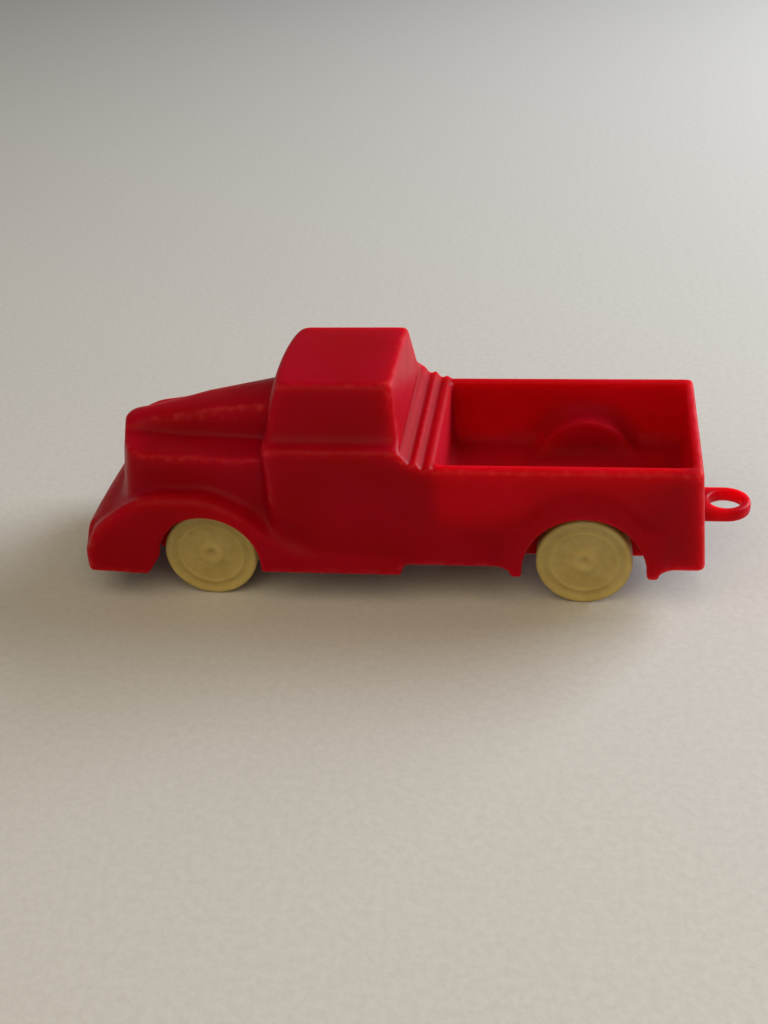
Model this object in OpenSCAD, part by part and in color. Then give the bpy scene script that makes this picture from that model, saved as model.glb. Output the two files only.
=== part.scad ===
// Free-rolling toy pickup: one moulded shell, two wire axles and four pressed-on wheels.
// +X runs to the tailgate and +Z is up. The origin is on the ground, midway across the body and within
// 0.2 mm of the middle of its length.

/* [Wheels and axles] */
// Distance between the two axles
wheelbase = 34; // [33.6:0.1:34.4]
// Outer radius of a wheel
wheel_r = 4.3; // [4.2:0.05:4.4]
// Width of a wheel across its rim
wheel_w = 2.0; // [1.6:0.1:2.1]
// How far a wheel's outer face sits inside the flat body side
wheel_inset = 1.05; // [1:0.05:1.2]
// Radius of the wire axle
axle_r = 0.7; // [0.6:0.02:0.75]
// Running clearance all round the axle in its saddles
axle_gap = 0.06; // [0.04:0.01:0.09]
// How much smaller the wheel's blind hole is than the axle, on the radius
press = 0.01; // [0.005:0.005:0.02]

/* [Shell] */
// Width across the flat body sides
body_w = 19; // [18.8:0.1:19.4]
// How far the fenders and running boards stand out from the flat side
flare = 0.5; // [0.3:0.1:0.7]
// Wall thickness
wall = 1.0; // [0.8:0.1:1.1]
// Height of the bed rails
rail_z = 14; // [13.5:0.1:14.2]
// Height of the bed floor
floor_z = 7.6; // [7.2:0.1:8]
// Height of the lower edge of the bed
bed_edge_z = 4.3; // [4:0.1:4.5]
// Height of the lower edge of the running boards
board_z = 3.45; // [3.2:0.05:3.6]
// Height of the top of the roof
roof_z = 20.6; // [20.2:0.1:21]

/* [Tow ring] */
// Radius of the hole in the tow ring
ring_hole_r = 1.5; // [1.2:0.05:1.6]
// Width of the bar round the hole
ring_bar = 0.8; // [0.6:0.05:0.9]
// Thickness of the tow ring
ring_t = 1.25; // [1:0.05:1.3]
// Height of the underside of the tow ring
ring_z = 4.95; // [4.8:0.05:5.2]

/* [Hidden] */

rear_x = 15.45;
front_x = rear_x - wheelbase;
half_w = body_w / 2;
side_y = half_w + flare;
deck_y = side_y - 1.3;
bore_r = axle_r + axle_gap;

// Stations along the body
nose_x = -30.8;
cowl_x = -12.75;
roof_front_x = -11.35;
roof_rear_x = -1.3;
ledge_x = -0.55;
bed_front_x = 2.55;
tail_top_x = 25.38;
tail_foot_x = 25.96;
board_end_x = -0.95;
ring_end_x = 30.5;

// Heights
belt_z = 15.8;
shelf_z = 14.0;
arch_z = 4.0;
nose_foot_z = 3.3;
fender_foot_z = 3.0;
tab_foot_z = 3.7;

// Cab above the belt
belt_half_w = 8.0;
roof_half_w = 6.3;
cab_bulge = 0.9;

// Wheel arches and wheel wells
front_arch_r = 4.95;
rear_arch_r = 5.45;
lip_w = 1.35;
arch_in = half_w - 1.5;
well_r = 5.5;
well_top_z = 6.4;
hump_r = 4.5;
hump_wall = 0.55;
well_wall_y = 5.5;
well_wall_t = 0.75;
saddle_z = 3.5;
saddle_y = 4.3;
saddle_w = 3.0;
slot_w = 1.1;

eps = 0.02;
bed_side_t = 1.35;
tail_t = 0.85;
wheel_face_y = half_w - wheel_inset;
wheel_back_y = wheel_face_y - wheel_w;
axle_half = wheel_face_y - 0.55;

function arc(cx, cz, r, a0, a1, steps) =
    [for (i = [0:steps]) let (a = a0 + (a1 - a0) * i / steps) [cx + r * cos(a), cz + r * sin(a)]];

// An outline in X and Z, drawn through the body from y0 to y1
module slab(points, y0, y1) {
    translate([0, y1, 0])
        rotate([90, 0, 0])
            linear_extrude(height = y1 - y0)
                polygon(points);
}

module both_sides() {
    children();
    mirror([0, 1, 0]) children();
}

module box(x0, x1, y0, y1, z0, z1) {
    translate([x0, y0, z0]) cube([x1 - x0, y1 - y0, z1 - z0]);
}

// Round bar or hole across the body, from y0 to y1
module cross_rod(x, z, r, y0, y1, sides = 96) {
    translate([x, y1, z])
        rotate([90, 0, 0])
            cylinder(h = y1 - y0, r = r, $fn = sides);
}

// Cab plan: square at the back, wrapped round at the front
module cab_plan(x_front, x_rear, hw, bulge) {
    wrap = 1.6;
    back = 0.7;
    polygon(concat(
        [for (a = [-90:15:90])
            [x_front + wrap - (wrap + bulge) * pow(max(cos(a), 0), 0.7), -hw * sin(a)]],
        [[x_rear - back, -hw], [x_rear, -hw + back], [x_rear, hw - back], [x_rear - back, hw]]
    ));
}

// Hood plan: tapers towards the front, turns a corner and ends in a blunt V
module hood_plan(inset, shift) {
    half = [[-26.8, 3.4], [-26.05, 5.0], [-25.5, 5.55], [-24.2, 6.1], [-21.3, 6.85], [-18.6, 7.4],
            [-15.7, 7.8], [-11, 7.95]];
    offset(delta = -inset)
        translate([shift, 0])
            polygon(concat(
                [[-27.65, 0]],
                half,
                [for (i = [len(half) - 1:-1:0]) [half[i][0], -half[i][1]]]
            ));
}

// Upper part of the cab, leaning in on every side, with a softened roof edge
module greenhouse() {
    hull() {
        translate([0, 0, belt_z - 0.5])
            linear_extrude(height = 0.5)
                cab_plan(cowl_x + 0.25, ledge_x, belt_half_w, cab_bulge);
        translate([0, 0, roof_z - 0.75])
            linear_extrude(height = 0.2)
                cab_plan(roof_front_x, roof_rear_x, roof_half_w, cab_bulge);
        translate([0, 0, roof_z - 0.25])
            linear_extrude(height = 0.25)
                cab_plan(roof_front_x + 0.7, roof_rear_x - 0.1, roof_half_w - 0.5, cab_bulge - 0.1);
    }
}

// Cab body, stepped cab back and bed sides, as one outline across the flat width
module tub() {
    slab([
        [cowl_x, bed_edge_z], [cowl_x, belt_z - 0.3], [cowl_x + 0.3, belt_z], [ledge_x - 0.4, belt_z],
        [-0.2, 15.25], [0.05, 15.0], [0.35, 14.35], [0.6, 14.4], [0.85, 14.75], [1.05, 14.7],
        [1.4, 13.9], [1.65, 13.95], [1.95, 14.3], [2.15, 14.25], [2.5, 13.9], [2.9, rail_z],
        [tail_top_x, rail_z], [tail_foot_x, bed_edge_z]
    ], -half_w, half_w);
}

module hood() {
    lean = -1.1;
    hull() {
        translate([0, 0, 6.5]) linear_extrude(height = 0.2) hood_plan(0, lean);
        translate([0, 0, shelf_z - 0.6]) linear_extrude(height = 0.2) hood_plan(0, 0);
        translate([0, 0, shelf_z + 0.15])
            rotate([0, -0.9, 0])
                linear_extrude(height = 0.05) hood_plan(0.45, 0.1);
    }
    hull()
        for (s = [[-27.2, 1.0, 13.7, 14.2], [-25.2, 1.5, 14.6, 15.3],
                  [-19.8, 2.7, 15.9, 16.55], [-11.5, 3.6, 17.0, 17.9]])
            translate([s[0], 0, 0])
                rotate([90, 0, 90])
                    linear_extrude(height = 0.1)
                        polygon([
                            [-s[1] - 0.3, 13], [s[1] + 0.3, 13], [s[1] + 0.2, shelf_z], [s[1], s[2]],
                            [s[1] * 0.5, s[3] - 0.1], [0, s[3]], [-s[1] * 0.5, s[3] - 0.1],
                            [-s[1], s[2]], [-s[1] - 0.2, shelf_z]
                        ]);
}

// Fender crest in side view, sweeping down into the running board
crest = [
    [-29.8, 5.4], [-29.2, 7.1], [-28.2, 8.1], [-26.4, 9.45], [-24.3, 10.55], [-22.3, 10.85],
    [-18.5, 10.75], [-16.8, 10.2], [-15, 9.25], [-13.4, 7.85], [-11.7, 6.5], [-10.4, 5.75],
    [-8.9, 5.4], [-6, 5.2], [board_end_x, 5.2]
];

// Fender and running board of one side, in two layers for a softened outer edge
module skirt() {
    soften = 0.35;
    foot = [[board_end_x, board_z], [-13.4, board_z], [-24.6, fender_foot_z], [-29.8, nose_foot_z]];
    slab(concat(crest, foot), deck_y, side_y - soften / 2);
    slab(concat([for (p = crest) [p[0], p[1] - soften]], foot), deck_y, side_y);
}

// Apron between the fenders: low in front of the prow, with a bowed front edge
module apron() {
    bow = [[0, 0], [2.5, 0.05], [4.5, 0.2], [6.5, 0.45], [8.6, 0.8], [9.3, 0.95], [9.7, 1.15], [side_y, 1.5]];
    intersection() {
        union() {
            slab([
                [nose_x, nose_foot_z], [nose_x, 5.9], [-30.4, 6.5], [-29.6, 7.0], [-28.3, 7.5], [-27, 8.2],
                [-25.5, 9.2], [-23.5, 9.9], [-18, 9.9], [-14.5, 8.9], [-12, 7], [-12, 3.1]
            ], -deck_y - eps, deck_y + eps);
            both_sides() skirt();
        }
        translate([0, 0, -1])
            linear_extrude(height = 20)
                polygon(concat(
                    [for (p = bow) [nose_x + p[1], p[0]]],
                    [[0, side_y], [0, -side_y]],
                    [for (i = [len(bow) - 1:-1:1]) [nose_x + bow[i][1], -bow[i][0]]]
                ));
    }
}

// Raised lip round the rear wheel arch, ending in a short tab on each side
module rear_lip() {
    difference() {
        cross_rod(rear_x, arch_z, rear_arch_r + lip_w, half_w - wall, side_y);
        box(rear_x - 9, rear_x + 9, half_w - 3, side_y + 1, -9, tab_foot_z);
    }
}

// Loop at the tailgate: straight sides and a round end, concentric with its hole
module tow_ring() {
    ring_r = ring_hole_r + ring_bar;
    difference() {
        translate([0, 0, ring_z])
            linear_extrude(height = ring_t)
                polygon(concat(
                    [[tail_top_x - 0.3, -ring_r]],
                    arc(ring_end_x - ring_r, 0, ring_r, -90, 90, 24),
                    [[tail_top_x - 0.3, ring_r]]
                ));
        translate([ring_end_x - ring_r, 0, ring_z - 1])
            cylinder(h = ring_t + 2, r = ring_hole_r, $fn = 96);
    }
}

// Space under the hood and fenders, open to the ground
module engine_space() {
    slab([
        [-29.0, -1], [-29.0, 5.2], [-28.2, 6.2], [-27, 7.1], [-25.5, 8.2], [-24.3, 8.9],
        [-16.2, 8.9], [-13.9, 7.9], [-12.6, 6.9], [-9, 6.4], [-9, -1]
    ], -deck_y, deck_y);
    translate([0, 0, 5])
        linear_extrude(height = shelf_z - wall - 5)
            hood_plan(wall + 0.2, 0);
    box(-21, -10, -1.9, 1.9, 9, 15.2);
}

// Space under the cab, leaning in with its walls
module cab_space() {
    box(cowl_x + wall, ledge_x - 0.4, -half_w + wall, half_w - wall, -1, belt_z - 1.5);
    hull() {
        translate([0, 0, belt_z - 2])
            linear_extrude(height = 0.1)
                cab_plan(cowl_x + 1, ledge_x - 1, belt_half_w - 1.3, cab_bulge - 0.1);
        translate([0, 0, roof_z - 1.2])
            linear_extrude(height = 0.1)
                cab_plan(roof_front_x + 1.3, roof_rear_x - 1, roof_half_w - 1.2, cab_bulge - 0.2);
    }
}

module bed_space() {
    slab([
        [bed_front_x, floor_z], [bed_front_x, rail_z + 1],
        [tail_top_x - tail_t, rail_z + 1], [tail_top_x - tail_t, floor_z]
    ], -half_w + bed_side_t, half_w - bed_side_t);
}

module underside() {
    box(ledge_x - 1, bed_front_x - 0.6, -half_w + wall, half_w - wall, -1, rail_z - 1.4);
    box(ledge_x, tail_top_x - tail_t + 0.2, -half_w + wall, half_w - wall, -1, floor_z - wall);
}

// Inner wall of a wheel well with the block that carries the axle
module well_wall(x, top, front_top) {
    slab([
        [x - well_r, saddle_z], [x - well_r, front_top], [x - well_r / 2, top],
        [x + well_r, top], [x + well_r, saddle_z]
    ], well_wall_y, well_wall_y + well_wall_t);
    box(x - saddle_w / 2, x + saddle_w / 2, saddle_y, well_wall_y + eps, saddle_z, top);
}

// Front wheel arch: a round top over the wheel, and a front edge that slants down and forwards
module front_arch() {
    wheel_gap = 0.3;
    cross_rod(front_x, wheel_r, wheel_r + wheel_gap, arch_in, side_y + 1);
    intersection() {
        union() {
            cross_rod(front_x, arch_z, front_arch_r, arch_in, side_y + 1);
            box(front_x - 9, front_x + front_arch_r, arch_in, side_y + 1, 0, arch_z);
        }
        slab([
            [front_x - 7.6, 0], [front_x - 5.57, 3.14], [front_x - 4.6, 4.6], [front_x - 3.94, 5.9],
            [front_x - 2.6, 8.6], [front_x - 2.6, 12], [front_x + 9, 12], [front_x + 9, 0]
        ], arch_in - 1, side_y + 2);
    }
}

// Rear wheel arch: round, with upright sides
module rear_arch() {
    cross_rod(rear_x, arch_z, rear_arch_r, arch_in, side_y + 1);
    box(rear_x - rear_arch_r, rear_x + rear_arch_r, arch_in, side_y + 1, 0, arch_z);
}

// Snap-in seat for the axle: a round bore with a narrower slot below it
module saddle_cut(x) {
    cross_rod(x, wheel_r, bore_r, -half_w + 2, half_w - 2);
    box(x - slot_w / 2, x + slot_w / 2, -half_w + 2, half_w - 2, 0, wheel_r);
}

// Half-round wheel housing that stands up through the bed floor
module rear_hump() {
    difference() {
        cross_rod(rear_x, floor_z - wall, hump_r, well_wall_y, half_w - 0.2);
        box(rear_x - 9, rear_x + 9, 0, side_y, -9, saddle_z);
    }
    box(rear_x - well_r - wall, rear_x + well_r + wall, half_w - wall - 0.2, half_w - 0.2, saddle_z, floor_z);
}

module rear_well() {
    cross_rod(rear_x, floor_z - wall, hump_r - hump_wall, well_wall_y + well_wall_t, half_w - wall);
    box(rear_x - well_r, rear_x + well_r, well_wall_y + well_wall_t, half_w - wall, -1, well_top_z);
}

module body_shell() {
    color("crimson")
        difference() {
            union() {
                difference() {
                    union() {
                        tub();
                        greenhouse();
                        hood();
                        apron();
                        both_sides() rear_lip();
                    }
                    engine_space();
                    cab_space();
                    bed_space();
                    underside();
                }
                both_sides() {
                    rear_hump();
                    well_wall(rear_x, floor_z - 0.5, floor_z - 0.5);
                    well_wall(front_x, shelf_z - 0.8, 9.5);
                }
                tow_ring();
            }
            both_sides() {
                rear_well();
                front_arch();
                rear_arch();
            }
            saddle_cut(front_x);
            saddle_cut(rear_x);
        }
}

module axle(x) {
    chamfer = 0.15;
    color("silver")
        translate([x, axle_half, wheel_r])
            rotate([90, 0, 0])
                rotate_extrude($fn = 64)
                    polygon([
                        [0, 0], [axle_r - chamfer, 0], [axle_r, chamfer],
                        [axle_r, 2 * axle_half - chamfer], [axle_r - chamfer, 2 * axle_half],
                        [0, 2 * axle_half]
                    ]);
}

module front_axle() axle(front_x);
module rear_axle() axle(rear_x);

// One wheel on the +Y side: its outer face has a ring groove, a low hub and a dimple
module wheel(x) {
    edge = 0.2;
    hub_back = 0.12;
    depth = axle_half - wheel_back_y;
    color("khaki")
        translate([x, wheel_face_y, wheel_r])
            rotate([90, 0, 0])
                rotate_extrude($fn = 96)
                    polygon([
                        [0, 0.25], [0.3, 0.05], [0.75, 0.0], [1.05, 0.2], [2.7, 0.2], [2.9, 0.02],
                        [3.15, 0.02], [3.3, 0.15], [3.75, 0.15], [3.9, 0], [wheel_r - edge, 0],
                        [wheel_r, edge], [wheel_r, wheel_w - edge], [wheel_r - edge, wheel_w],
                        [1.5, wheel_w], [1.5, wheel_w + hub_back], [axle_r - press, wheel_w + hub_back],
                        [axle_r - press, wheel_w - depth], [0, wheel_w - depth]
                    ]);
}

module wheel_front_right() wheel(front_x);
module wheel_rear_right() wheel(rear_x);
module wheel_front_left() mirror([0, 1, 0]) wheel(front_x);
module wheel_rear_left() mirror([0, 1, 0]) wheel(rear_x);

body_shell();
front_axle();
rear_axle();
wheel_front_left();
wheel_front_right();
wheel_rear_left();
wheel_rear_right();
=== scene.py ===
"""A small moulded toy pickup with four hard wheels on two wires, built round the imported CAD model.

The shell is made as a signed distance field in millimetres, softened the way a moulding is, and meshed
from that field. Everything is placed in the frame's own axes: +X to the tailgate, +Z up, ground at 0.
"""
import math

import bmesh
import bpy
import numpy as np
from mathutils import Matrix, Vector


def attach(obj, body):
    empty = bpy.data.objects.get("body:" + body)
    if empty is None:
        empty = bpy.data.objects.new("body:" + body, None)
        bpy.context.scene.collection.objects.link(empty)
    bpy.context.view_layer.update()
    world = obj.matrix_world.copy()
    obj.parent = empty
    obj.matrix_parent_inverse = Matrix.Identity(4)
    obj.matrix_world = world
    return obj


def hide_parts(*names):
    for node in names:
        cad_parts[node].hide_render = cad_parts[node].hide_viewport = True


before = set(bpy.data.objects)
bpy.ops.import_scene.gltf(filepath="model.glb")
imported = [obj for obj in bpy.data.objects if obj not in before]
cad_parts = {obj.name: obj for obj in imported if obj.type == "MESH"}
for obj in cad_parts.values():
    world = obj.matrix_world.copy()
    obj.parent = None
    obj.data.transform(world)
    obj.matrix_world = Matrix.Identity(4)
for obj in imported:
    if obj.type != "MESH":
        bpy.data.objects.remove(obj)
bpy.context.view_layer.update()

MM = 0.001
FINE_CELL, QUICK_CELL = 0.16, 0.26
CELL = FINE_CELL
# Most triangles that the shell keeps after thinning out. Just under the most faces that
# one exported piece may have
SHELL_TRIANGLES = 195000
FAR_OUT = 9.0

# ---------------------------------------------------------------- sizes in millimetres
# Those that the CAD model has too are the same as there, or within half a millimetre of it
REAR_X = 15.45
FRONT_X = -18.55
HALF_W = 9.5
SIDE_Y = 10.0
DECK_Y = 8.7
WALL = 1.0
WHEEL_R = 4.3
WHEEL_W = 2.0
WHEEL_FACE_Y = 8.45
AXLE_R = 0.7
BORE_R = 0.76
NOSE_X = -30.8
COWL_X = -12.75
WINDSCREEN_LEAN = 0.9
BELT_HALF_W = 8.25
ROOF_HALF_W = 6.3
ROOF_REAR_X = -1.1
LEDGE_X = -0.55
BED_FRONT_X = 2.55
TAIL_TOP_X = 25.38
TAIL_FOOT_X = 25.96
BOARD_END_X = -0.6
RING_END_X = 30.5
BELT_Z = 15.8
SHELF_Z = 14.0
RAIL_Z = 14.0
ROOF_Z = 20.6
FLOOR_Z = 7.6
BED_EDGE_Z = 4.3
BOARD_Z = 3.45
ARCH_Z = 4.0
FRONT_ARCH_R = 4.95
REAR_ARCH_R = 5.45
LIP_W = 1.2
ARCH_IN = HALF_W - 1.5
WELL_R = 5.5
WELL_TOP_Z = 6.4
HUMP_R = 4.5
HUMP_WALL = 0.55
WELL_WALL_Y = 5.5
WELL_WALL_T = 0.75
SADDLE_Z = 3.5
SADDLE_Y = 4.3
SADDLE_W = 3.0
SLOT_W = 1.1
BED_SIDE_T = 1.35
TAIL_T = 0.85
RING_HOLE_R = 1.5
RING_BAR = 0.8
RING_T = 1.25
RING_Z = 4.95

# ---------------------------------------------------------------- the field's grid: one half, mirrored later
MARGIN = 0.9
xs = np.arange(NOSE_X - MARGIN, RING_END_X + MARGIN, CELL, dtype=np.float32)
ys = np.arange(CELL / 2, SIDE_Y + MARGIN, CELL, dtype=np.float32)
zs = np.arange(3.0 - MARGIN, ROOF_Z + MARGIN, CELL, dtype=np.float32)
X = xs[:, None, None]
Y = ys[None, :, None]
Z = zs[None, None, :]


def outline_distance(u, v, points):
    """Signed distance from each (u, v) to a closed outline, negative inside."""
    best = np.full(np.broadcast(u, v).shape, 1e9, dtype=np.float32)
    inside = np.zeros(best.shape, dtype=bool)
    for (ax, ay), (bx, by) in zip(points, points[1:] + points[:1]):
        ex, ey = bx - ax, by - ay
        length2 = ex * ex + ey * ey
        if length2 < 1e-12:
            continue
        t = np.clip(((u - ax) * ex + (v - ay) * ey) / length2, 0, 1)
        best = np.minimum(best, (u - ax - t * ex) ** 2 + (v - ay - t * ey) ** 2)
        if by != ay:
            inside ^= ((ay > v) != (by > v)) & (u < ex * (v - ay) / (by - ay) + ax)
    return np.where(inside, -1, 1).astype(np.float32) * np.sqrt(best)


def side(points, y0, y1):
    """Solid with this outline in X and Z, from y0 to y1."""
    flat = outline_distance(X, Z, points)
    return np.maximum(flat, np.maximum(Y - y1, y0 - Y))


def rod(x, z, r, y0, y1):
    """Round bar across the body."""
    flat = np.sqrt((X - x) ** 2 + (Z - z) ** 2) - r
    return np.maximum(flat, np.maximum(Y - y1, y0 - Y))


def block(x0, x1, y0, y1, z0, z1):
    """Box between two limits on each axis."""
    across = np.maximum(X - x1, x0 - X)
    return np.maximum(np.maximum(across, np.maximum(Y - y1, y0 - Y)), np.maximum(Z - z1, z0 - Z))


def join(*fields):
    """Union."""
    out = fields[0]
    for f in fields[1:]:
        out = np.minimum(out, f)
    return out


def soft_join(a, b, k):
    """Union with a fillet about k wide."""
    h = np.clip(0.5 + 0.5 * (b - a) / k, 0, 1)
    return b * (1 - h) + a * h - k * h * (1 - h)


def soft_common(a, b, k):
    """Intersection with an edge rounded about k wide."""
    return -soft_join(-a, -b, k)


def cut(a, b):
    """What is left of a without b."""
    return np.maximum(a, -b)


def line(x, points):
    """Height of a broken line through (x, height) points."""
    return np.interp(x, [p[0] for p in points], [p[1] for p in points]).astype(np.float32)


def mirrored(half):
    """Closed outline from its +Y half, which runs from the nose to the tail."""
    return half + [(x, -y) for x, y in reversed(half) if y > 0]


def step(t):
    """Smooth rise from 0 at t = 0 to 1 at t = 1."""
    t = np.clip(t, 0, 1)
    return t * t * (3 - 2 * t)


def blur(field, sigma, axes=(0, 1, 2)):
    """Gaussian softening, sigma in millimetres. Axis 1 is mirrored at the body's middle plane."""
    reach = max(1, int(math.ceil(2.5 * sigma / CELL)))
    taps = np.exp(-0.5 * (np.arange(-reach, reach + 1) * CELL / sigma) ** 2)
    taps = (taps / taps.sum()).astype(np.float32)
    for axis in axes:
        pad = [(0, 0)] * 3
        if axis == 1:
            low = np.flip(np.take(field, range(reach), axis=1), axis=1)
            pad[1] = (0, reach)
            wide = np.concatenate([low, np.pad(field, pad, mode="edge")], axis=1)
        else:
            pad[axis] = (reach, reach)
            wide = np.pad(field, pad, mode="edge")
        n = field.shape[axis]
        out = np.zeros_like(field)
        for i, w in enumerate(taps):
            window = [slice(None)] * 3
            window[axis] = slice(i, i + n)
            out += w * wide[tuple(window)]
        field = out
    return field


# ---------------------------------------------------------------- outer volumes
# They run down to DEEP, and the finished moulding is cut along FEET, the line of its lower edge
DEEP = -2.0
NOSE_FOOT_Z = 3.2
FENDER_FOOT_Z = 2.95
TAB_FOOT_Z = 3.65
TAB_REACH = 6.45
TAB_SIDE = 0.2
FEET = [
    (NOSE_X, NOSE_FOOT_Z), (-29.8, NOSE_FOOT_Z), (-24.6, FENDER_FOOT_Z), (-13.4, BOARD_Z),
    (BOARD_END_X - 0.2, BOARD_Z), (BOARD_END_X + 0.2, BED_EDGE_Z),
    (REAR_X - TAB_REACH - TAB_SIDE, BED_EDGE_Z), (REAR_X - TAB_REACH, TAB_FOOT_Z),
    (REAR_X + TAB_REACH, TAB_FOOT_Z), (REAR_X + TAB_REACH + TAB_SIDE, BED_EDGE_Z),
]
# Side view of the fender's crest, sweeping down into the running board
CREST = [
    (-29.8, 5.4), (-29.2, 7.1), (-28.2, 8.1), (-26.4, 9.45), (-24.3, 10.55), (-22.3, 10.85), (-18.5, 10.75),
    (-16.8, 10.2), (-15.0, 9.25), (-13.4, 7.85), (-11.7, 6.5), (-10.4, 5.75), (-8.9, 5.4), (-6.0, 5.2),
    (BOARD_END_X, 5.2),
]
# Side view of the apron's deck beside the hood
DECK = [
    (NOSE_X, 5.9), (-30.4, 6.5), (-29.6, 7.0), (-28.3, 7.5), (-27.0, 8.2), (-25.5, 9.2), (-23.5, 9.9),
    (-18.0, 9.9), (-14.5, 8.9), (-12.0, 7.0),
]
# Plan of one half of the hood, from the point of the prow to the cab
HOOD_HALF = [
    (-27.65, 0), (-26.8, 3.4), (-26.05, 5.0), (-25.5, 5.55), (-24.2, 6.1), (-21.3, 6.85), (-18.6, 7.4),
    (-15.7, 7.8), (-11.0, 7.95),
]
# The raised middle of the hood along X: half its width, and its height at the side and on the crown
SPINE_HALF_W = [(-27.6, 2.4), (-25.2, 1.8), (-19.8, 2.7), (-11.5, 3.6)]
SPINE_SIDE_Z = [(-27.6, 13.75), (-25.2, 14.35), (-19.8, 15.75), (-11.5, 17.0)]
SPINE_CROWN_Z = [(-27.6, 14.4), (-26.3, 14.85), (-25.2, 15.1), (-19.8, 16.2), (-11.5, 17.9)]
# How far the apron's front edge falls back at each Y
APRON_BOW = [(0, 0), (2.5, 0.05), (4.5, 0.2), (6.5, 0.4), (8.6, 0.65), (9.3, 0.75), (9.7, 0.9), (SIDE_Y, 1.2)]


def tub():
    """Cab body and bed sides across the flat width, with a cove in the door along the fender line."""
    cab = [
        (COWL_X, DEEP), (COWL_X, BELT_Z - 0.3), (COWL_X + 0.3, BELT_Z), (-0.9, BELT_Z), (0.7, BELT_Z - 0.6),
        (2.4, RAIL_Z + 0.5), (2.4, DEEP),
    ]
    tail_slope = (TAIL_FOOT_X - TAIL_TOP_X) / (RAIL_Z - BED_EDGE_Z)
    bed = [(0, DEEP), (0, RAIL_Z), (TAIL_TOP_X, RAIL_Z), (TAIL_TOP_X + tail_slope * (RAIL_Z - DEEP), DEEP)]
    crest = line(xs, CREST)[:, None, None]
    window = step((X + 15.0) / 2.0) * step((-7.0 - X) / 3.5)
    cove = 0.45 * window * np.exp(-(((Z - crest - 1.3) / 1.3) ** 2))
    flat = join(outline_distance(X, Z, cab), outline_distance(X, Z, bed))
    corner = 0.7 * np.clip(1 - (X - COWL_X) / 0.9, 0, 1) ** 2
    return soft_common(flat, Y - HALF_W + cove + corner, 0.8)


def cab_half_plan(t):
    """Plan outline of the cab's upper part: t is 0 at the belt and 1 at the roof."""
    back = 0.45
    wrap = 0.8 + 0.6 * t
    squareness = 0.6
    front = COWL_X + 0.05 + WINDSCREEN_LEAN * max(t, 0) ** 2.5
    rear = LEDGE_X + (ROOF_REAR_X - LEDGE_X) * t
    half_w = BELT_HALF_W + (ROOF_HALF_W - BELT_HALF_W) * t
    curve = []
    for angle in range(0, 91, 9):
        a = math.radians(angle)
        curve.append((front + wrap - wrap * max(math.cos(a), 0) ** squareness, half_w * math.sin(a)))
    return curve + [(rear - back, half_w), (rear - 0.12, half_w - 0.15), (rear, half_w - back)]


def greenhouse():
    """Upper part of the cab, leaning in on every side, with a softened roof edge."""
    field = np.full((len(xs), len(ys), len(zs)), FAR_OUT, dtype=np.float32)
    flat_x, flat_y = X[:, :, 0], Y[:, :, 0]
    for k, z in enumerate(zs):
        if z < BELT_Z - 1.2:
            continue
        t = (min(z, ROOF_Z + 0.6) - BELT_Z) / (ROOF_Z - BELT_Z)
        field[:, :, k] = outline_distance(flat_x, flat_y, mirrored(cab_half_plan(t)))
    leaning_walls = 0.95
    field *= leaning_walls
    crown = ROOF_Z + 0.13 - 0.1 * (Y / 6) ** 2
    field = soft_common(field, Z - crown, 0.25)
    return np.maximum(field, BELT_Z - 0.9 - Z)


def hood():
    """Hood with a flat shelf on each side, a raised tapering middle and a blunt V at the front."""
    lean = -1.1
    lean_foot_z = 6.5
    field = np.full((len(xs), len(ys), len(zs)), FAR_OUT, dtype=np.float32)
    flat_x, flat_y = X[:, :, 0], Y[:, :, 0]
    outline = mirrored(HOOD_HALF)
    for k, z in enumerate(zs):
        if z < 4.5 or z > 19.0:
            continue
        shift = lean * float(np.clip((SHELF_Z - z) / (SHELF_Z - lean_foot_z), 0, 1.3))
        field[:, :, k] = outline_distance(flat_x - shift, flat_y, outline)
    half_w = line(xs, SPINE_HALF_W)[:, None]
    side_z = line(xs, SPINE_SIDE_Z)[:, None]
    crown_z = line(xs, SPINE_CROWN_Z)[:, None]
    y = ys[None, :]
    shelf = SHELF_Z + 0.0157 * (xs[:, None] + 12.0) - 0.7 * (y / 7.0) ** 2 * step((-18 - xs[:, None]) / 7)
    over = crown_z - (crown_z - side_z) * np.clip(y / half_w, 0, 1) ** 2.2
    top = shelf + np.maximum(over - shelf, 0) * step((half_w + 0.3 - y) / 0.45)
    return soft_common(field, (Z - top[:, :, None]) * 0.85, 0.3)


def fender_top():
    """Height over the plan of the apron deck, the valley beside the hood and the fender crown."""
    crest = line(xs, CREST)[:, None] + 0.1
    deck = line(xs, DECK)[:, None]
    y = ys[None, :]
    up = step((y - 6.6) / 2.5)
    return deck + (crest - deck) * up


def apron():
    """Low bowed apron in front, the fenders and the running boards."""
    body = soft_common((Z - fender_top()[:, :, None]) * 0.85, Y - SIDE_Y, 1.1)
    body = np.maximum(body, X - BOARD_END_X)
    body = np.maximum(body, np.where(X > -12.0, DECK_Y - 0.2 - Y, -9.0))
    bow = line(ys, APRON_BOW)[None, :, None]
    return soft_common(body, NOSE_X - 0.05 + bow - X, 0.2)


def rear_lip():
    """Raised lip round the rear wheel arch, ending in a short tab on each side."""
    radius = REAR_ARCH_R + LIP_W
    ring = rod(REAR_X, ARCH_Z, radius, HALF_W - WALL, SIDE_Y)
    legs = block(REAR_X - radius, REAR_X + radius, HALF_W - WALL, SIDE_Y, DEEP, ARCH_Z)
    stand_out = 0.1 + 0.4 * step((9.5 - Z) / 4.5)
    return np.maximum(join(ring, legs), Y - HALF_W - stand_out)


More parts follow.
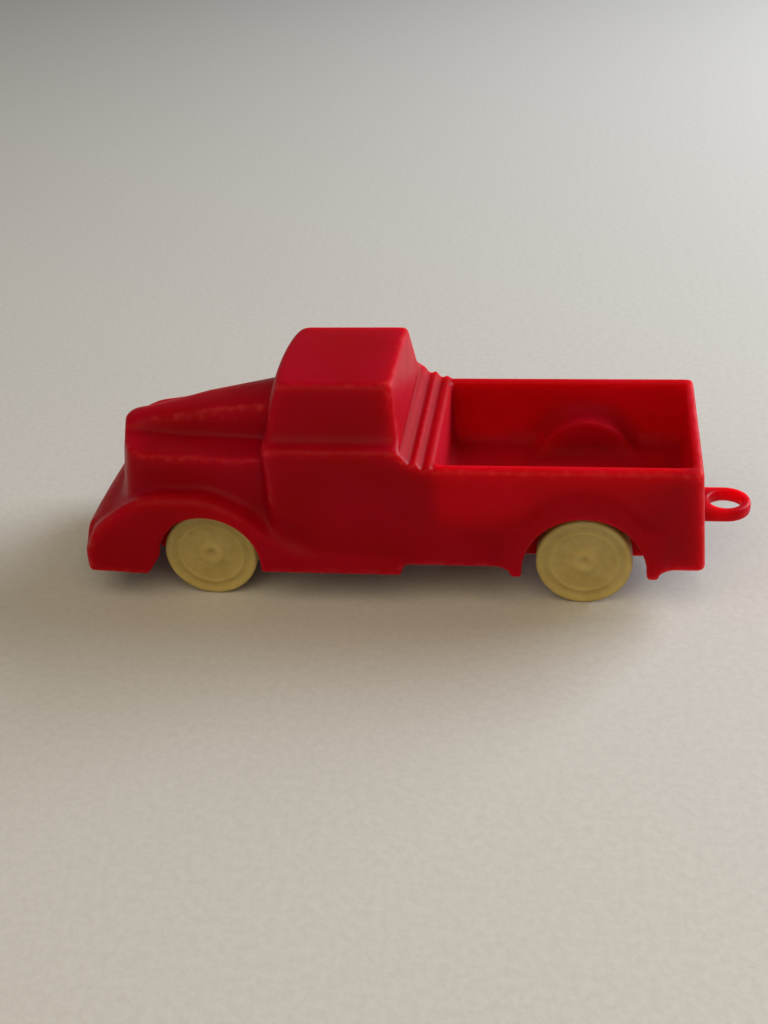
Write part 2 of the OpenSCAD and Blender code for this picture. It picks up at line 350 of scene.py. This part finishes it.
# ---------------------------------------------------------------- hollows
def engine_space():
    """Space under the hood and fenders, open to the ground."""
    low = side([
        (-29.0, -1), (-29.0, 5.2), (-28.2, 6.2), (-27.0, 7.0), (-25.5, 7.8), (-24.3, 8.4), (-16.2, 8.4),
        (-13.9, 7.5), (-12.6, 6.6), (-9.0, 6.2), (-9.0, -1),
    ], -1, DECK_Y)
    inset = WALL + 0.2
    high = outline_distance(X, Y, mirrored(HOOD_HALF)) + inset
    high = np.maximum(high, np.maximum(5 - Z, Z - (SHELF_Z - WALL)))
    return join(low, high, block(-21, -10, -1.9, 1.9, 9, 15.2))


def cab_space():
    """Space under the cab, leaning in with its walls."""
    low = block(COWL_X + WALL, LEDGE_X - 0.4, -1, HALF_W - WALL, -1, BELT_Z - 1.5)
    t = np.clip((Z - 13.4) / 6.1, 0, 1)
    front = COWL_X + 1.2 + t * 2.2
    rear = LEDGE_X - 1.0 - t * 1.6
    half_w = 6.7 - 1.6 * t
    high = np.maximum(np.maximum(front - X, X - rear), Y - half_w)
    high = np.maximum(high, np.maximum(13.0 - Z, Z - (ROOF_Z - 1.1)))
    return join(low, high)


def bed_space():
    """The open bed, with rounded corners."""
    length = np.maximum(BED_FRONT_X - X, X - (TAIL_TOP_X - TAIL_T))
    walls = soft_common(length, Y - (HALF_W - BED_SIDE_T), 0.7)
    return soft_common(walls, FLOOR_Z - Z, 1.3)


def underside():
    """Space below the bed floor and behind the cab back."""
    front = block(LEDGE_X - 1, BED_FRONT_X - 0.6, -1, HALF_W - WALL, -1, RAIL_Z - 1.4)
    rear = block(LEDGE_X, TAIL_TOP_X - TAIL_T + 0.2, -1, HALF_W - WALL, -1, FLOOR_Z - WALL)
    return join(front, rear)


def well_wall(x, top, front_top):
    """Inner wall of a wheel well with the block that carries the axle."""
    panel = side([
        (x - WELL_R, SADDLE_Z), (x - WELL_R, front_top), (x - WELL_R / 2, top), (x + WELL_R, top),
        (x + WELL_R, SADDLE_Z),
    ], WELL_WALL_Y, WELL_WALL_Y + WELL_WALL_T)
    pad = block(x - SADDLE_W / 2, x + SADDLE_W / 2, SADDLE_Y, WELL_WALL_Y + 0.02, SADDLE_Z, top)
    return join(panel, pad)


def saddle_cut(x):
    """Snap-in seat for the axle: a round bore with a narrower slot below it."""
    bore = rod(x, WHEEL_R, BORE_R, 0, HALF_W - 2)
    return join(bore, block(x - SLOT_W / 2, x + SLOT_W / 2, -1, HALF_W - 2, -1, WHEEL_R))


def rear_hump():
    """Half-round wheel housing that stands up through the bed floor."""
    drum = rod(REAR_X, FLOOR_Z - WALL, HUMP_R, WELL_WALL_Y, HALF_W - 0.2)
    drum = cut(drum, block(REAR_X - 9, REAR_X + 9, -1, SIDE_Y, -9, SADDLE_Z))
    strip = block(
        REAR_X - WELL_R - WALL, REAR_X + WELL_R + WALL, HALF_W - WALL - 0.2, HALF_W - 0.2, SADDLE_Z, FLOOR_Z
    )
    return join(drum, strip)


def rear_well():
    """Space for the rear wheel, up into the housing."""
    drum = rod(REAR_X, FLOOR_Z - WALL, HUMP_R - HUMP_WALL, WELL_WALL_Y + WELL_WALL_T, HALF_W - WALL)
    inner_y = WELL_WALL_Y + WELL_WALL_T
    return join(drum, block(REAR_X - WELL_R, REAR_X + WELL_R, inner_y, HALF_W - WALL, -1, WELL_TOP_Z))


def front_arch():
    """Round top over the wheel, and a front edge that slants down and forwards."""
    over_wheel = rod(FRONT_X, WHEEL_R, WHEEL_R + 0.3, ARCH_IN, SIDE_Y + 1)
    round_top = rod(FRONT_X, ARCH_Z, FRONT_ARCH_R, ARCH_IN, SIDE_Y + 1)
    low = block(FRONT_X - 9, FRONT_X + FRONT_ARCH_R, ARCH_IN, SIDE_Y + 1, -1, ARCH_Z)
    slant = side([
        (FRONT_X - 7.6, 0), (FRONT_X - 5.57, 3.14), (FRONT_X - 4.6, 4.6), (FRONT_X - 3.94, 5.9),
        (FRONT_X - 2.6, 8.6), (FRONT_X - 2.6, 12), (FRONT_X + 9, 12), (FRONT_X + 9, 0),
    ], ARCH_IN - 1, SIDE_Y + 2)
    return join(over_wheel, np.maximum(join(round_top, low), slant))


def rear_arch():
    """Round, with upright sides."""
    low = block(REAR_X - REAR_ARCH_R, REAR_X + REAR_ARCH_R, ARCH_IN, SIDE_Y + 1, -1, ARCH_Z)
    return join(rod(REAR_X, ARCH_Z, REAR_ARCH_R, ARCH_IN, SIDE_Y + 1), low)


def tow_ring():
    """Loop at the tailgate: straight sides and a round end, concentric with its hole."""
    centre_x = RING_END_X - RING_HOLE_R - RING_BAR
    along = np.clip(X, TAIL_TOP_X - 0.3, centre_x)
    outer = np.sqrt((X - along) ** 2 + Y**2) - (RING_HOLE_R + RING_BAR)
    outer = np.maximum(outer, TAIL_TOP_X - 0.3 - X)
    hole = np.sqrt((X - centre_x) ** 2 + Y**2) - RING_HOLE_R
    loop = cut(outer, hole)
    return soft_common(loop, np.abs(Z - RING_Z - RING_T / 2) - RING_T / 2, 0.3)


# Steps of the cab back: (x, height) of the moulded ridges between the ledge and the bed
RIDGES = [
    (-0.9, 15.3), (-0.2, 15.25), (0.05, 15.0), (0.35, 14.35), (0.6, 14.4), (0.85, 14.75), (1.05, 14.7),
    (1.4, 13.9), (1.65, 13.95), (1.95, 14.3), (2.15, 14.25), (2.5, 13.8), (3.1, 14.3),
]


def stairs_cut():
    """What is taken away above the stepped cab back."""
    top = line(xs, RIDGES)[:, None, None]
    field = (top - Z) * 0.8
    return np.maximum(field, np.maximum(-0.5 - X, X - BED_FRONT_X - 0.2))


# How far each stage of the moulding is softened
OUTER_SOFT, WHOLE_SOFT, LAST_SOFT = 0.17, 0.14, 0.1
EDGE_SOFT = 0.25
# Bend at which the pale edge colour, part wear and part painted highlight, is at its full strength
FULL_WEAR_AND_HIGHLIGHT_BEND = 1.6
SKIN_DEPTH = 0.3


def shell_field():
    """The whole moulding's field and its outer skin's, before the hollows."""
    cab = soft_join(tub(), greenhouse(), 0.8)
    front = soft_join(hood(), apron(), 0.4 + 1.3 * step((X + 26.0) / 4.0))
    outer = soft_join(cab, front, 0.4)
    outer = soft_join(outer, rear_lip(), 0.7)
    outer = blur(outer, OUTER_SOFT)
    outer = cut(outer, stairs_cut())
    feet = line(xs, FEET)[:, None, None] - Z
    skin = np.maximum(outer, feet)
    field = outer
    for hollow in (engine_space(), cab_space(), bed_space(), underside()):
        field = cut(field, hollow)
    field = soft_join(field, rear_hump(), 1.5)
    field = join(field, well_wall(REAR_X, FLOOR_Z - 0.5, FLOOR_Z - 0.5))
    field = join(field, well_wall(FRONT_X, SHELF_Z - 0.8, 9.5))
    field = cut(field, rear_well())
    field = cut(field, front_arch())
    field = cut(field, rear_arch())
    field = blur(field, WHOLE_SOFT)
    field = np.maximum(field, feet)
    field = join(field, tow_ring())
    field = cut(field, saddle_cut(FRONT_X))
    field = cut(field, saddle_cut(REAR_X))
    return blur(field, LAST_SOFT), skin


# ---------------------------------------------------------------- from the field to a mesh
def full_field(half):
    """Both halves of the body from the +Y half."""
    return np.concatenate([half[:, ::-1, :], half], axis=1)


def surface(field):
    """Vertices (in cells) and quads of the field's zero surface, one vertex in each cell that it crosses."""
    inside = field < 0
    nx, ny, nz = field.shape
    count = np.zeros((nx - 1, ny - 1, nz - 1), dtype=np.int8)
    corners = [(i, j, k) for i in (0, 1) for j in (0, 1) for k in (0, 1)]
    for i, j, k in corners:
        count += inside[i:nx - 1 + i, j:ny - 1 + j, k:nz - 1 + k]
    cells = np.argwhere((count > 0) & (count < 8))
    number = np.full((nx - 1, ny - 1, nz - 1), -1, dtype=np.int64)
    number[cells[:, 0], cells[:, 1], cells[:, 2]] = np.arange(len(cells))
    total = np.zeros((len(cells), 3))
    hits = np.zeros(len(cells))
    for a in corners:
        for axis in range(3):
            if a[axis]:
                continue
            b = list(a)
            b[axis] = 1
            fa = field[cells[:, 0] + a[0], cells[:, 1] + a[1], cells[:, 2] + a[2]]
            fb = field[cells[:, 0] + b[0], cells[:, 1] + b[1], cells[:, 2] + b[2]]
            crossed = (fa < 0) != (fb < 0)
            t = np.where(crossed, fa / np.where(crossed, fa - fb, 1), 0)
            point = np.array(a, dtype=float)[None, :].repeat(len(cells), axis=0)
            point[:, axis] = t
            total += np.where(crossed[:, None], point, 0)
            hits += crossed
    verts = cells + total / hits[:, None]
    quads = []
    for axis in range(3):
        low = [slice(1, -1)] * 3
        high = [slice(1, -1)] * 3
        low[axis] = slice(0, -1)
        high[axis] = slice(1, None)
        change = inside[tuple(low)].astype(np.int8) - inside[tuple(high)].astype(np.int8)
        where = np.argwhere(change != 0)
        sign = change[where[:, 0], where[:, 1], where[:, 2]]
        base = where + 1
        base[:, axis] -= 1
        u, v = [a for a in range(3) if a != axis]
        ring = []
        for du, dv in ((-1, -1), (0, -1), (0, 0), (-1, 0)):
            c = base.copy()
            c[:, u] += du
            c[:, v] += dv
            ring.append(number[c[:, 0], c[:, 1], c[:, 2]])
        ring = np.stack(ring, axis=1)
        flip = (sign < 0) if axis != 1 else (sign > 0)
        ring[flip] = ring[flip][:, ::-1]
        quads.append(ring)
    return verts, np.concatenate(quads)


def mesh_from(name, verts, faces):
    """A mesh from arrays of points and of faces that all have as many corners."""
    mesh = bpy.data.meshes.new(name)
    size = faces.shape[1]
    mesh.vertices.add(len(verts))
    mesh.vertices.foreach_set("co", np.asarray(verts, dtype=np.float32).ravel())
    mesh.loops.add(faces.size)
    mesh.loops.foreach_set("vertex_index", faces.astype(np.int32).ravel())
    mesh.polygons.add(len(faces))
    mesh.polygons.foreach_set("loop_start", np.arange(0, faces.size, size, dtype=np.int32))
    mesh.polygons.foreach_set("loop_total", np.full(len(faces), size, dtype=np.int32))
    mesh.update(calc_edges=True)
    mesh.validate()
    mesh.polygons.foreach_set("use_smooth", np.ones(len(mesh.polygons), dtype=bool))
    return mesh


def sample(grid, spots):
    """Trilinear values of a grid at spots given in cells."""
    top = np.array(grid.shape) - 1.001
    spots = np.clip(spots, 0, top)
    cell = spots.astype(np.int64)
    part = spots - cell
    out = np.zeros(len(spots))
    for i in (0, 1):
        for j in (0, 1):
            for k in (0, 1):
                w = np.abs(1 - i - part[:, 0]) * np.abs(1 - j - part[:, 1]) * np.abs(1 - k - part[:, 2])
                out += w * grid[cell[:, 0] + i, cell[:, 1] + j, cell[:, 2] + k]
    return out


def vertex_array(mesh):
    """The mesh's points, one row each."""
    out = np.zeros(len(mesh.vertices) * 3, dtype=np.float32)
    mesh.vertices.foreach_get("co", out)
    return out.reshape(-1, 3)


def add_object(name, mesh):
    """A new object in the scene."""
    obj = bpy.data.objects.new(name, mesh)
    bpy.context.scene.collection.objects.link(obj)
    return obj


def thin_out(obj, triangles):
    """Fewer triangles where the surface is flat."""
    have = sum(len(p.vertices) - 2 for p in obj.data.polygons)
    if have <= triangles:
        return
    less = obj.modifiers.new("thin", "DECIMATE")
    less.ratio = triangles / have
    depsgraph = bpy.context.evaluated_depsgraph_get()
    mesh = bpy.data.meshes.new_from_object(obj.evaluated_get(depsgraph))
    obj.modifiers.clear()
    old = obj.data
    obj.data = mesh
    bpy.data.meshes.remove(old)


def build_shell():
    """The moulding's mesh, with its normals, where its edges are and what lies inside it."""
    half, skin = shell_field()
    field = full_field(half)
    origin = np.array([xs[0], -ys[-1], zs[0]])
    verts, quads = surface(field)
    obj = add_object("shell_moulding", mesh_from("shell_moulding", (verts * CELL + origin) * MM, quads))
    thin_out(obj, SHELL_TRIANGLES)
    mesh = obj.data
    spots = (vertex_array(mesh) / MM - origin) / CELL
    slopes = [sample(g, spots) for g in np.gradient(field, CELL)]
    normals = np.stack(slopes, axis=1)
    normals /= np.maximum(np.linalg.norm(normals, axis=1), 1e-6)[:, None]
    mesh.polygons.foreach_set("use_smooth", np.ones(len(mesh.polygons), dtype=bool))
    mesh.normals_split_custom_set_from_vertices(normals.tolist())
    wide = full_field(blur(skin, EDGE_SOFT))
    bend = sum(np.gradient(g, CELL, axis=i) for i, g in enumerate(np.gradient(wide, CELL)))
    depth = sample(full_field(skin), spots)
    outside = np.clip(1 + depth / SKIN_DEPTH, 0, 1)
    # Convex outer edges get the pale edge colour: partly wear, partly a painted highlight
    edge_wear_and_highlight = np.clip(sample(bend, spots) / FULL_WEAR_AND_HIGHLIGHT_BEND, 0, 1) * outside
    edge = mesh.attributes.new("edge", "FLOAT", "POINT")
    edge.data.foreach_set("value", edge_wear_and_highlight.astype(np.float32))
    inner = mesh.attributes.new("inside", "FLOAT", "POINT")
    inner.data.foreach_set("value", (1 - outside).astype(np.float32))
    return obj


# ---------------------------------------------------------------- materials
class Graph:
    """Short names for building a material's nodes."""

    def __init__(self, name):
        self.material = bpy.data.materials.new(name)
        self.material.use_nodes = True
        self.tree = self.material.node_tree
        self.shader = self.tree.nodes["Principled BSDF"]

    def node(self, kind, **settings):
        made = self.tree.nodes.new(kind)
        for key, value in settings.items():
            setattr(made, key, value)
        return made

    def link(self, a, b):
        self.tree.links.new(a, b)

    def place(self, scale=(1, 1, 1)):
        """Position on the object in millimetres, stretched by scale."""
        at = self.node("ShaderNodeTexCoord")
        scaled = self.node("ShaderNodeMapping")
        scaled.inputs["Scale"].default_value = [1000 * s for s in scale]
        self.link(at.outputs["Object"], scaled.inputs["Vector"])
        return scaled.outputs["Vector"]

    def noise(self, scale, detail=3.0, rough=0.55, stretch=(1, 1, 1), distortion=0.0):
        made = self.node("ShaderNodeTexNoise")
        made.inputs["Scale"].default_value = scale
        made.inputs["Detail"].default_value = detail
        made.inputs["Roughness"].default_value = rough
        made.inputs["Distortion"].default_value = distortion
        self.link(self.place(stretch), made.inputs["Vector"])
        return made.outputs["Fac"]

    def fit(self, value, low, high, to_low=0.0, to_high=1.0):
        made = self.node("ShaderNodeMapRange", clamp=True, interpolation_type="SMOOTHSTEP")
        made.inputs["From Min"].default_value = low
        made.inputs["From Max"].default_value = high
        made.inputs["To Min"].default_value = to_low
        made.inputs["To Max"].default_value = to_high
        self.link(value, made.inputs["Value"])
        return made.outputs["Result"]

    def math(self, operation, a, b):
        made = self.node("ShaderNodeMath", operation=operation)
        for i, value in enumerate((a, b)):
            if isinstance(value, (int, float)):
                made.inputs[i].default_value = value
            else:
                self.link(value, made.inputs[i])
        return made.outputs[0]

    def blend(self, factor, a, b):
        """Colour mix: a and b are colours or sockets."""
        made = self.node("ShaderNodeMix", data_type="RGBA")
        self.link(factor, made.inputs["Factor"])
        for name, value in (("A", a), ("B", b)):
            socket = [s for s in made.inputs if s.name == name and s.type == "RGBA"][0]
            if isinstance(value, tuple):
                socket.default_value = value + (1.0,)
            else:
                self.link(value, socket)
        return [s for s in made.outputs if s.type == "RGBA"][0]

    def attribute(self, name):
        made = self.node("ShaderNodeAttribute", attribute_name=name)
        return made.outputs["Fac"]

    def bump(self, height, strength, distance, before=None):
        made = self.node("ShaderNodeBump")
        made.inputs["Strength"].default_value = strength
        made.inputs["Distance"].default_value = distance
        self.link(height, made.inputs["Height"])
        if before is not None:
            self.link(before, made.inputs["Normal"])
        return made.outputs["Normal"]

    def set(self, **values):
        for key, value in values.items():
            self.shader.inputs[key.replace("_", " ")].default_value = value


def red_plastic():
    """Red translucent moulding, clouded a little, scuffed in patches, and pale on its outer edges, which is
    partly wear and partly a painted highlight.
    """
    g = Graph("red_moulding")
    deep = (0.29, 0.0, 0.004)
    bright = (0.32, 0.0, 0.009)
    pale = (0.60, 0.07, 0.085)
    cloud = g.fit(g.noise(0.12, 2.0, 0.5, (1, 1, 1.6)), 0.35, 0.65)
    colour = g.blend(cloud, deep, bright)
    rub = g.fit(g.noise(1.1, 4.0, 0.7), 0.42, 0.72)
    edge = g.fit(g.attribute("edge"), 0.35, 0.95)
    # Pale on convex outer edges: partly wear, partly a painted highlight standing in for the edges' gloss
    worn_and_highlit = g.math("MULTIPLY", g.math("MULTIPLY", edge, rub), 0.3)
    scratch = g.fit(g.noise(1.3, 5.0, 0.75, (0.5, 0.5, 3.2), 0.6), 0.66, 0.78)
    patch = g.fit(g.noise(0.16, 2.0, 0.5), 0.5, 0.68)
    scuffed = g.math("MULTIPLY", g.math("MULTIPLY", scratch, patch), 0.2)
    marks_and_highlight = g.math("MAXIMUM", worn_and_highlit, scuffed)
    colour = g.blend(marks_and_highlight, colour, pale)
    g.link(colour, g.shader.inputs["Base Color"])
    haze = g.fit(g.noise(0.5, 4.0, 0.6), 0.3, 0.7, 0.34, 0.44)
    rough = g.math("ADD", haze, g.math("MULTIPLY", marks_and_highlight, 0.3))
    rough = g.math("ADD", rough, g.math("MULTIPLY", g.attribute("inside"), 0.3))
    g.link(rough, g.shader.inputs["Roughness"])
    flow = g.noise(0.35, 2.0, 0.5, (1, 1, 2.2), 0.8)
    skin = g.noise(4.5, 3.0, 0.6)
    normal = g.bump(flow, 0.25, 0.00012)
    normal = g.bump(skin, 0.22, 0.00002, normal)
    normal = g.bump(scratch, 0.15, 0.00002, normal)
    g.link(normal, g.shader.inputs["Normal"])
    g.set(
        IOR=1.49, Specular_IOR_Level=0.07, Subsurface_Weight=0.9, Subsurface_Radius=(1.0, 0.06, 0.04),
        Subsurface_Scale=0.006,
    )
    return g.material


def cream_plastic():
    """Cream wheels, darker in patches where their face is sunk deeper."""
    g = Graph("cream_moulding")
    warm = (0.44, 0.335, 0.095)
    light = (0.50, 0.39, 0.125)
    sunk_cream = (0.33, 0.24, 0.07)
    cloud = g.fit(g.noise(0.45, 3.0, 0.6), 0.35, 0.65)
    colour = g.blend(cloud, warm, light)
    # Darker where the face is sunk deeper, in patches
    sunk_darkening = g.math("MULTIPLY", g.attribute("groove"), g.fit(g.noise(1.6, 3.0, 0.6), 0.3, 0.7, 0.25, 0.6))
    colour = g.blend(sunk_darkening, colour, sunk_cream)
    g.link(colour, g.shader.inputs["Base Color"])
    g.link(g.fit(g.noise(1.2, 4.0, 0.6), 0.3, 0.7, 0.34, 0.5), g.shader.inputs["Roughness"])
    normal = g.bump(g.noise(0.8, 3.0, 0.6), 0.25, 0.00006)
    normal = g.bump(g.noise(5.0, 2.0, 0.5), 0.2, 0.00001, normal)
    g.link(normal, g.shader.inputs["Normal"])
    g.set(
        IOR=1.49, Subsurface_Weight=0.5, Subsurface_Radius=(1.0, 0.7, 0.3), Subsurface_Scale=0.0008,
    )
    return g.material


def steel_wire():
    """Drawn wire, streaked along its length."""
    g = Graph("drawn_wire")
    drawn = g.noise(6.0, 4.0, 0.6, (4.0, 0.15, 4.0))
    colour = g.blend(g.fit(drawn, 0.3, 0.7), (0.42, 0.41, 0.40), (0.62, 0.61, 0.60))
    g.link(colour, g.shader.inputs["Base Color"])
    g.link(g.fit(drawn, 0.3, 0.7, 0.28, 0.46), g.shader.inputs["Roughness"])
    g.link(g.bump(drawn, 0.3, 0.00001), g.shader.inputs["Normal"])
    g.set(Metallic=1.0)
    return g.material


def table_top():
    """Pale floor with a faint grain."""
    g = Graph("pale_table")
    speck = g.noise(1.4, 3.0, 0.7)
    colour = g.blend(g.fit(speck, 0.3, 0.7), (0.50, 0.49, 0.47), (0.54, 0.53, 0.51))
    g.link(colour, g.shader.inputs["Base Color"])
    g.link(g.bump(speck, 0.35, 0.00006), g.shader.inputs["Normal"])
    g.set(Roughness=0.6, Specular_IOR_Level=0.2)
    return g.material


# ---------------------------------------------------------------- wheels
WHEEL_FACE = [
    (0.0, 0.34), (0.18, 0.32), (0.36, 0.2), (0.55, 0.1), (0.85, 0.06), (1.05, 0.08), (1.2, 0.16), (1.4, 0.2),
    (1.9, 0.21), (2.6, 0.2), (2.78, 0.17), (2.88, 0.1), (3.0, 0.08), (3.12, 0.1), (3.22, 0.16), (3.4, 0.18),
    (3.58, 0.16), (3.72, 0.08), (3.86, 0.01), (4.02, 0.0),
]


# The gate mark on the wheel's face, and how deep a groove is when it is at its darkest
GATE_R = 2.2
GATE_DEPTH = 0.10
GATE_SPREAD = 0.09
GROOVE_FULL = 0.27
RIM_SHRINK = 0.0045


def wheel_profile():
    """(radius, distance in from the outer face) from the hub's dimple over the rim to the axle hole."""
    corner = 0.24
    points = list(WHEEL_FACE)
    for deg in range(90, -1, -15):
        a = math.radians(deg)
        points.append((WHEEL_R - corner + corner * math.cos(a), corner - corner * math.sin(a)))
    for deg in range(0, 91, 15):
        a = math.radians(deg)
        points.append((WHEEL_R - corner + corner * math.cos(a), WHEEL_W - corner + corner * math.sin(a)))
    points += [
        (2.6, WHEEL_W), (1.62, WHEEL_W), (1.5, WHEEL_W + 0.04), (1.44, WHEEL_W + 0.12),
        (0.82, WHEEL_W + 0.12), (AXLE_R + 0.02, WHEEL_W + 0.08), (AXLE_R - 0.01, WHEEL_W),
        (AXLE_R - 0.01, 0.56), (0.0, 0.55),
    ]
    return points


def build_wheel(name, x, sign, turn):
    """A wheel turned about its axis: sign is +1 on the +Y side, and turn sets where its gate mark lies."""
    steps = 144
    profile = wheel_profile()
    verts, faces, groove = [], [], []
    for i in range(steps):
        a = 2 * math.pi * i / steps
        wobble = 0.012 * math.sin(2 * a + turn) + 0.008 * math.sin(3 * a + 2 * turn)
        around = (a - turn + math.pi) % (2 * math.pi) - math.pi
        for r, depth in profile:
            grow = 1 + (wobble / WHEEL_R - RIM_SHRINK) * (r / WHEEL_R) ** 3
            from_gate = (r - GATE_R) ** 2 + (GATE_R * around) ** 2
            gate = GATE_DEPTH * math.exp(-from_gate / GATE_SPREAD) if depth < WHEEL_W / 2 else 0
            reach = r * grow
            verts.append((
                x + reach * math.cos(a), sign * (WHEEL_FACE_Y - depth - gate), WHEEL_R + reach * math.sin(a)
            ))
            on_face = depth < 0.4 and r < 4
            groove.append(min(max(depth, 0) / GROOVE_FULL, 1) if on_face else 0.0)
    n = len(profile)
    for i in range(steps):
        j = (i + 1) % steps
        for k in range(n - 1):
            ring = [i * n + k, j * n + k, j * n + k + 1, i * n + k + 1]
            faces.append(ring if sign > 0 else ring[::-1])
    mesh = bpy.data.meshes.new(name)
    mesh.from_pydata([[c * MM for c in v] for v in verts], [], faces)
    values = mesh.attributes.new("groove", "FLOAT", "POINT")
    values.data.foreach_set("value", groove)
    obj = add_object(name, mesh)
    weld(obj)
    mesh.polygons.foreach_set("use_smooth", [True] * len(mesh.polygons))
    return obj


def weld(obj):
    """Joins the points that lie on the wheel's own centre line and drops the flat faces there."""
    bm = bmesh.new()
    bm.from_mesh(obj.data)
    bmesh.ops.remove_doubles(bm, verts=bm.verts, dist=1e-7)
    bmesh.ops.dissolve_degenerate(bm, edges=bm.edges, dist=1e-8)
    bmesh.ops.recalc_face_normals(bm, faces=bm.faces)
    bm.to_mesh(obj.data)
    bm.free()


# ---------------------------------------------------------------- stage
def build_table():
    """Plain floor, larger behind the toy than in front. Sizes in metres."""
    far, near = 2.2, 0.6
    verts = [(-far, -near, 0), (far, -near, 0), (far, far, 0), (-far, far, 0)]
    mesh = bpy.data.meshes.new("table_top")
    mesh.from_pydata(verts, [], [(0, 1, 2, 3)])
    obj = add_object("table_top", mesh)
    return obj


def area_light(name, place, target, size, energy, colour):
    """A soft rectangular light in metres and watts, turned towards its target."""
    data = bpy.data.lights.new(name, "AREA")
    data.shape = "RECTANGLE"
    data.size, data.size_y = size
    data.energy = energy
    data.color = colour
    obj = bpy.data.objects.new(name, data)
    bpy.context.scene.collection.objects.link(obj)
    obj.location = place
    obj.rotation_euler = (Vector(target) - Vector(place)).to_track_quat("-Z", "Y").to_euler()
    return obj


def build_camera():
    """The photograph's viewing angle: about 31 degrees down, turned a little to the toy's front."""
    pitch, yaw, roll = 0.5362, -0.1656, -0.0675
    place = Vector((15.66, -115.06, 73.43)) * MM
    forward = Vector((math.sin(yaw) * math.cos(pitch), math.cos(yaw) * math.cos(pitch), -math.sin(pitch)))
    level = Vector((math.cos(yaw), -math.sin(yaw), 0))
    up = level.cross(forward)
    right = math.cos(roll) * level + math.sin(roll) * up
    over = math.cos(roll) * up - math.sin(roll) * level
    data = bpy.data.cameras.new("camera")
    data.sensor_fit = "AUTO"
    data.sensor_width = 36
    data.lens = 49.88
    data.clip_start = 0.001
    obj = bpy.data.objects.new("camera", data)
    bpy.context.scene.collection.objects.link(obj)
    pose = Matrix((right, over, -forward)).transposed().to_4x4()
    pose.translation = place
    obj.matrix_world = pose
    bpy.context.scene.camera = obj


def build_lights():
    """A dim neutral room, a cool window behind the tail and a warm lamp over the near side."""
    world = bpy.data.worlds.new("room")
    world.use_nodes = True
    sky = world.node_tree.nodes["Background"]
    sky.inputs["Color"].default_value = (0.95, 0.97, 1.0, 1)
    sky.inputs["Strength"].default_value = 0.14
    bpy.context.scene.world = world
    area_light("window", (0.31, 0.18, 0.17), (0.06, 0.01, 0), (0.3, 0.22), 2.6, (0.90, 0.94, 1.0))
    area_light("lamp", (-0.03, -0.30, 0.34), (0, -0.17, 0), (0.7, 0.45), 1.5, (1.0, 0.80, 0.50))


build_camera()
build_lights()
table = build_table()
table.data.materials.append(table_top())

shell = build_shell()
shell.data.materials.append(red_plastic())
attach(shell, "shell")
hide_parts("body_shell")

cream = cream_plastic()
WHEELS = [
    ("front_left", FRONT_X, -1, "front_wheelset", 2.1), ("front_right", FRONT_X, 1, "front_wheelset", 0.4),
    ("rear_left", REAR_X, -1, "rear_wheelset", 3.6), ("rear_right", REAR_X, 1, "rear_wheelset", 5.2),
]
for spot, x, sign, body, turn in WHEELS:
    wheel = build_wheel("rim_" + spot, x, sign, turn)
    wheel.data.materials.append(cream)
    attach(wheel, body)
    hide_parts("wheel_" + spot)

wire = steel_wire()
for node in ("front_axle", "rear_axle"):
    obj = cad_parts[node]
    obj.data.materials.clear()
    obj.data.materials.append(wire)

bpy.context.scene.view_settings.view_transform = "Standard"
bpy.context.scene.view_settings.look = "None"
